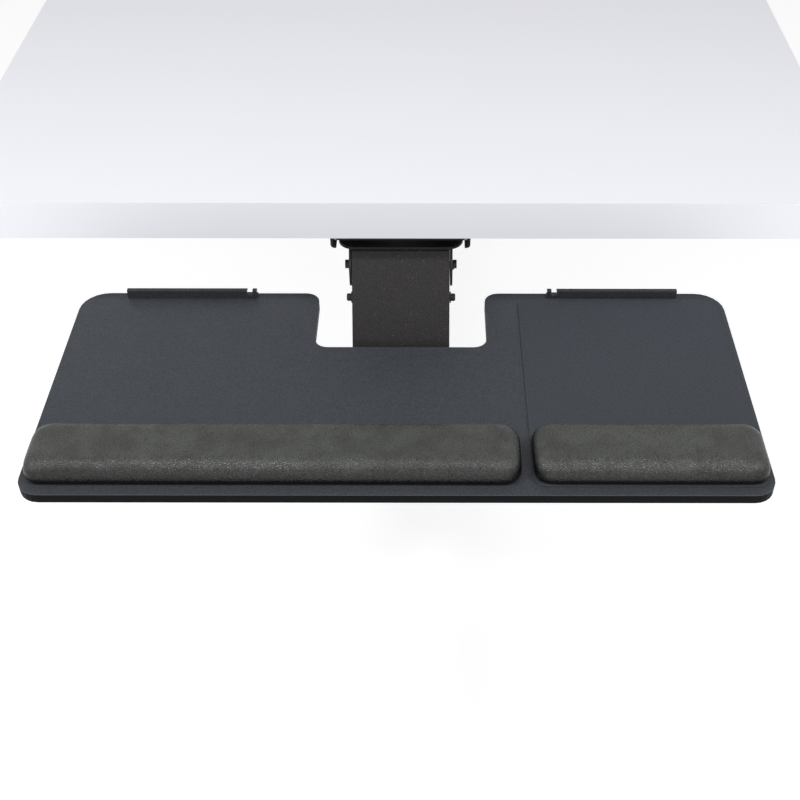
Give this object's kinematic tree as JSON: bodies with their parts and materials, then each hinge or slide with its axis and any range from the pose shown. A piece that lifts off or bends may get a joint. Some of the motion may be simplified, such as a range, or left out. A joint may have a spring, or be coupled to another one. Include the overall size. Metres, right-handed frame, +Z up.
{
  "type": "desk with articulating keyboard tray",
  "caption": "Plain white desktop panel with a slate keyboard tray, palm rests and mouse mat hung below its front edge on a lifting, tilting, swivelling arm in a sliding track.",
  "frame": {"origin": "on the desktop's underside at the middle of its front edge, on the track's centre line", "axes": "+X to the user's right, +Y towards the back of the desk along the track, +Z up"},
  "size_m": [0.8, 0.724, 0.1853],
  "materials": {
    "white_laminate": "smooth white melamine with a soft satin sheen",
    "black_powder_coat": "warm black fine-texture powder coat with sparse sparkle",
    "black_plastic": "moulded black plastic, semi-gloss",
    "zinc_steel": "zinc-plated steel, satin",
    "spring_steel": "dark oil-tempered spring steel",
    "nylon": "natural nylon, slightly waxy",
    "slate_laminate": "slate grey fine-texture laminate",
    "black_core": "black solid laminate core, machined edge",
    "mat_cloth": "fine-woven mouse mat, slate grey",
    "leatherette": "grained grey-black leatherette, semi-gloss"
  },
  "bodies": {
    "desk_and_track": {"desktop_panel": "white_laminate", "edge_band_front": "white_laminate", "edge_band_rear": "white_laminate", "edge_band_left": "white_laminate", "edge_band_right": "white_laminate", "track": "black_powder_coat", "track_front_stop": "black_plastic", "track_rear_stop": "black_plastic", "track_screw_1": "zinc_steel", "track_screw_2": "zinc_steel", "track_screw_3": "zinc_steel", "track_screw_4": "zinc_steel", "track_screw_5": "zinc_steel", "track_screw_6": "zinc_steel"},
    "carriage": {"slide_plate": "zinc_steel", "swivel_bearing": "nylon", "swivel_pin": "zinc_steel", "swivel_nut": "zinc_steel", "glide_front_left": "nylon", "glide_front_right": "nylon", "glide_rear_left": "nylon", "glide_rear_right": "nylon"},
    "swivel": {"swivel_bracket": "black_powder_coat", "upper_axle": "black_powder_coat", "upper_link_pin": "black_powder_coat"},
    "arm": {"arm_channel": "black_powder_coat", "spring_axle": "black_powder_coat", "lift_spring_left": "spring_steel", "lift_spring_right": "spring_steel"},
    "links": {"link_left": "black_powder_coat", "link_right": "black_powder_coat"},
    "head": {"head_bracket": "black_powder_coat", "lower_axle": "black_powder_coat", "lower_link_pin": "zinc_steel", "tilt_stud": "zinc_steel", "tilt_washer": "zinc_steel", "tilt_spacer_left": "zinc_steel", "tilt_spacer_right": "zinc_steel"},
    "knob": {"tilt_knob": "black_plastic"},
    "platform": {"tilt_plate": "black_powder_coat", "board_core": "black_core", "board_top_sheet": "slate_laminate", "mouse_mat": "mat_cloth", "palm_rest_base_left": "black_plastic", "palm_rest_base_right": "black_plastic", "palm_rest_pad_left": "leatherette", "palm_rest_pad_right": "leatherette", "rear_stop_left": "black_powder_coat", "rear_stop_right": "black_powder_coat", "plate_screw_1": "zinc_steel", "plate_screw_2": "zinc_steel", "plate_screw_3": "zinc_steel", "plate_screw_4": "zinc_steel", "plate_screw_5": "zinc_steel", "plate_screw_6": "zinc_steel", "rear_stop_screw_1": "zinc_steel", "rear_stop_screw_2": "zinc_steel", "rear_stop_screw_3": "zinc_steel", "rear_stop_screw_4": "zinc_steel"}
  },
  "joints": [
    {"name": "track_slide", "type": "slide", "parent": "desk_and_track", "child": "carriage", "axis": [0, 1, 0], "range_m": [0, 0.31]},
    {"name": "swivel_turn", "type": "hinge", "parent": "carriage", "child": "swivel", "pos_m": [0, 0.07, -0.0185], "axis": [0, 0, 1], "continuous": true},
    {"name": "arm_lift", "type": "hinge", "parent": "swivel", "child": "arm", "pos_m": [0, 0.016, -0.0385], "axis": [1, 0, 0], "range_deg": [-38, 14]},
    {"name": "link_swing", "type": "hinge", "parent": "swivel", "child": "links", "pos_m": [0, 0.03, -0.0505], "axis": [1, 0, 0], "range_deg": [-38, 14]},
    {"name": "head_level", "type": "hinge", "parent": "arm", "child": "head", "pos_m": [0, -0.03169, -0.11482], "axis": [1, 0, 0], "range_deg": [-14, 38]},
    {"name": "tilt", "type": "hinge", "parent": "head", "child": "platform", "pos_m": [0, -0.03169, -0.11482], "axis": [-1, 0, 0], "range_deg": [-15, 15]},
    {"name": "tilt_knob_turn", "type": "hinge", "parent": "head", "child": "knob", "pos_m": [0, -0.04969, -0.13082], "axis": [1, 0, 0], "range_deg": [-180, 180]}
  ],
  "couplings": [
    {"joint": "link_swing", "follows": "arm_lift", "ratio": 1},
    {"joint": "head_level", "follows": "arm_lift", "ratio": -1}
  ]
}
